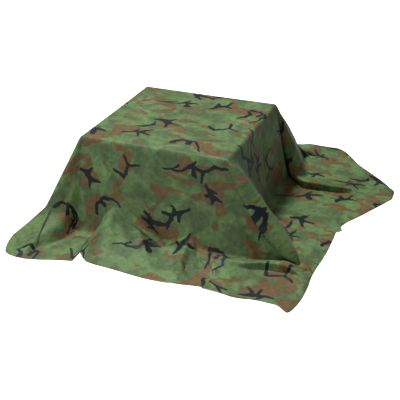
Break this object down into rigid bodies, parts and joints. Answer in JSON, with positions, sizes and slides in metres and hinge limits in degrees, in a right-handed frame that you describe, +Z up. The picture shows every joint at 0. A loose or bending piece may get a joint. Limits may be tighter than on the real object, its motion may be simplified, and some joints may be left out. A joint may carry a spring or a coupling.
{
  "type": "camouflage net cover draped over a box",
  "caption": "Square camouflage cover, closed light cloth, draped over a plain box: flat on top, falling in folds at the corners and spread over the floor.",
  "frame": {"origin": "middle of the box's base, on the floor the part rests on", "axes": "+Z up; -Y towards the front of the box; +X to the right seen from the front"},
  "size_m": [1.0552, 1.0883, 0.2813],
  "materials": {
    "camouflage_cloth": "light woven cloth, printed in green, brown and blue-black, matte with a slight sheen",
    "plain_wood": "plain sanded boards"
  },
  "bodies": {
    "root": {"cloth": "camouflage_cloth", "box_base": "plain_wood", "box_front": "plain_wood", "box_back": "plain_wood", "box_left": "plain_wood", "box_right": "plain_wood", "box_top": "plain_wood"}
  },
  "joints": []
}
